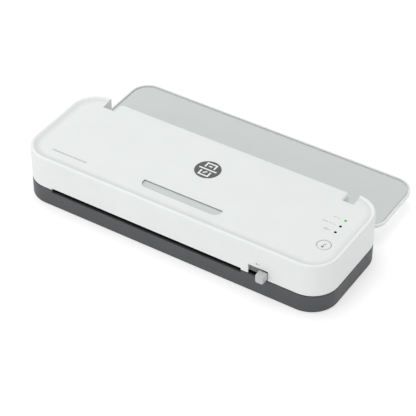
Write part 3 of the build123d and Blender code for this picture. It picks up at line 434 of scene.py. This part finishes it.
def lay_ribbon(bm, points, width):
    """Flat ribbon of one width along a run of points; a run that ends where it began is closed."""
    closed = math.dist(points[0], points[-1]) < 1e-6
    spine = [Vector(p) for p in (points[:-1] if closed else points)]
    count = len(spine)
    rails = []
    for i, here in enumerate(spine):
        before = spine[i - 1] if closed or i > 0 else here
        after = spine[(i + 1) % count] if closed or i < count - 1 else here
        come = (here - before).normalized() if before != here else (after - here).normalized()
        go = (after - here).normalized() if after != here else come
        normal = Vector((-(come + go).y, (come + go).x)).normalized()
        reach = width / 2 / max(0.4, normal.dot(Vector((-come.y, come.x))))
        rails.append([bm.verts.new((*(here + normal * side * reach), 0)) for side in (1, -1)])
    for i in range(count if closed else count - 1):
        (a, b), (c, d) = rails[i], rails[(i + 1) % count]
        bm.faces.new((a, b, d, c))


def lay_disc(bm, x, y, radius):
    bm.faces.new([bm.verts.new((*point, 0)) for point in arc(x, y, radius)[:-1]])


def finish_print(name, bm, place, body, material):
    """Gives the laid strokes their thickness in millimetres, and puts them on a body."""
    bmesh.ops.recalc_face_normals(bm, faces=bm.faces[:])
    if sum(face.normal.z for face in bm.faces) < 0:
        bmesh.ops.reverse_faces(bm, faces=bm.faces[:])
    sides = bmesh.ops.extrude_face_region(bm, geom=bm.faces[:])["geom"]
    lifted = [item for item in sides if isinstance(item, bmesh.types.BMVert)]
    bmesh.ops.translate(bm, vec=(0, 0, INK_HEIGHT), verts=lifted)
    bmesh.ops.recalc_face_normals(bm, faces=bm.faces[:])
    bm.transform(place @ Matrix.Scale(MM, 4))
    mesh = bpy.data.meshes.new(name)
    bm.to_mesh(mesh)
    bm.free()
    mesh.materials.append(material)
    piece = bpy.data.objects.new(name, mesh)
    bpy.context.scene.collection.objects.link(piece)
    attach(piece, body)


def print_strokes(name, strokes, width, place, body, material):
    bm = bmesh.new()
    for points in strokes:
        lay_ribbon(bm, points, width)
    finish_print(name, bm, place, body, material)


def top_of(node):
    """Middle of a node's top, as a place to print on."""
    low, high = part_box(node)
    return Matrix.Translation(((low.x + high.x) / 2, (low.y + high.y) / 2, high.z))


# ------------------------------------------------------------------ signs
def add_badge_sign(material):
    """Generic sign: a sheet that passes under a roller, ruled behind it and plain in front."""
    side = 5.4
    end = 9.8
    gap = 3.0
    strokes = [
        [(-side, gap), (-side, end), (side, end), (side, gap)],
        [(-side, -gap), (-side, -end), (side, -end), (side, -gap)],
        [(-10.4, 0), (10.4, 0)],
        [(-2.0, 5.6), (2.0, 5.6)],
        [(-2.0, -6.6), (1.4, -3.2)],
    ]
    place = top_of("badge")
    print_strokes("badge_sign", strokes, BADGE_STROKE, place, "housing", material)


def add_button_sign(line_ink, sign_ink):
    """Ring round the button's edge, and a thermometer with its marks."""
    place = top_of("power_button")
    print_strokes("button_ring", [arc(0, 0, 6.9)], 0.45, place, "power_button", line_ink)
    bm = bmesh.new()
    lay_disc(bm, -0.2, -2.9, 1.2)
    lay_ribbon(bm, [(-0.2, -1.7), (-0.2, 2.2)], STROKE)
    for y in (0.4, 1.6, 2.8):
        lay_ribbon(bm, [(0.5, y), (1.7, y)], STROKE)
    finish_print("button_sign", bm, place, "power_button", sign_ink)


def label_marks(kind, right):
    """Strokes of one light's label, ending at x = right, centred on y = 0."""
    half = LABEL_HEIGHT / 2
    if kind == "ready":
        tick = [(right - 7.8, 0.1), (right - 6.9, -half), (right - 5.0, half)]
        return [tick, [(right - 3.8, 0), (right, 0)]]
    if kind == "heating":
        flames = [
            [(right - 14.4 + 1.7 * i + 0.35 * math.sin(2.2 * y), half * y) for y in (-1, -0.5, 0, 0.5, 1)]
            for i in range(4)
        ]
        return [*flames, [(right - 7.2, 0), (right - 3.8, 0)], [(right - 2.6, 0), (right, 0)]]
    return [rounded_box(right - 7.0, right - 3.6, -half, half, 0.4), [(right - 2.6, 0), (right, 0)]]


def add_light_labels(material):
    """A small sign left of each light: tick, heat, pouch."""
    low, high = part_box("status_lights")
    ready_low, ready_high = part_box("ready_light")
    radius = (ready_high.x - ready_low.x) / 2
    ready = (ready_low.y + ready_high.y) / 2
    places = {"ready": ready, "heating": high.y - radius, "pouch": low.y + radius}
    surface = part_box("power_button")[1].z
    for kind, y in places.items():
        place = Matrix.Translation(((ready_low.x + ready_high.x) / 2, y, surface))
        strokes = label_marks(kind, -LABEL_GAP)
        print_strokes(f"{kind}_label", strokes, STROKE, place, "housing", material)


def add_strip(material):
    """Row of short slanted dashes near the front left corner of the panel."""
    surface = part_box("power_button")[1].z
    place = Matrix.Translation((STRIP_AT[0] * MM, STRIP_AT[1] * MM, surface))
    count = int(STRIP_LENGTH / STRIP_PITCH)
    dashes = [
        [(STRIP_PITCH * i, 0), (STRIP_PITCH * i + STRIP_HEIGHT / 3, STRIP_HEIGHT)] for i in range(count)
    ]
    print_strokes("panel_strip", dashes, STROKE, place, "housing", material)


def add_lever_sign(material):
    """Small arrow over the lever's window, the way the lever slides."""
    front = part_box("top_cover")[0].y
    x, z = LEVER_SIGN_AT
    place = Matrix.Translation((x * MM, front, z * MM)) @ Matrix.Rotation(math.radians(90), 4, "X")
    strokes = [[(2.6, 0), (-2.0, 0)], [(-1.0, 1.1), (-2.4, 0), (-1.0, -1.1)]]
    print_strokes("lever_sign", strokes, STROKE, place, "housing", material)


add_camera()
add_floor()
add_lights()
bpy.context.scene.view_settings.view_transform = "Standard"

dress_nodes(make_finishes())
grey_ink = ink("grey_ink", (0.36, 0.37, 0.37))
dark_ink = ink("dark_ink", (0.14, 0.14, 0.145))
white_ink = ink("white_ink", (0.86, 0.87, 0.865))
add_badge_sign(white_ink)
add_button_sign(grey_ink, dark_ink)
add_light_labels(grey_ink)
add_strip(dark_ink)
add_lever_sign(grey_ink)
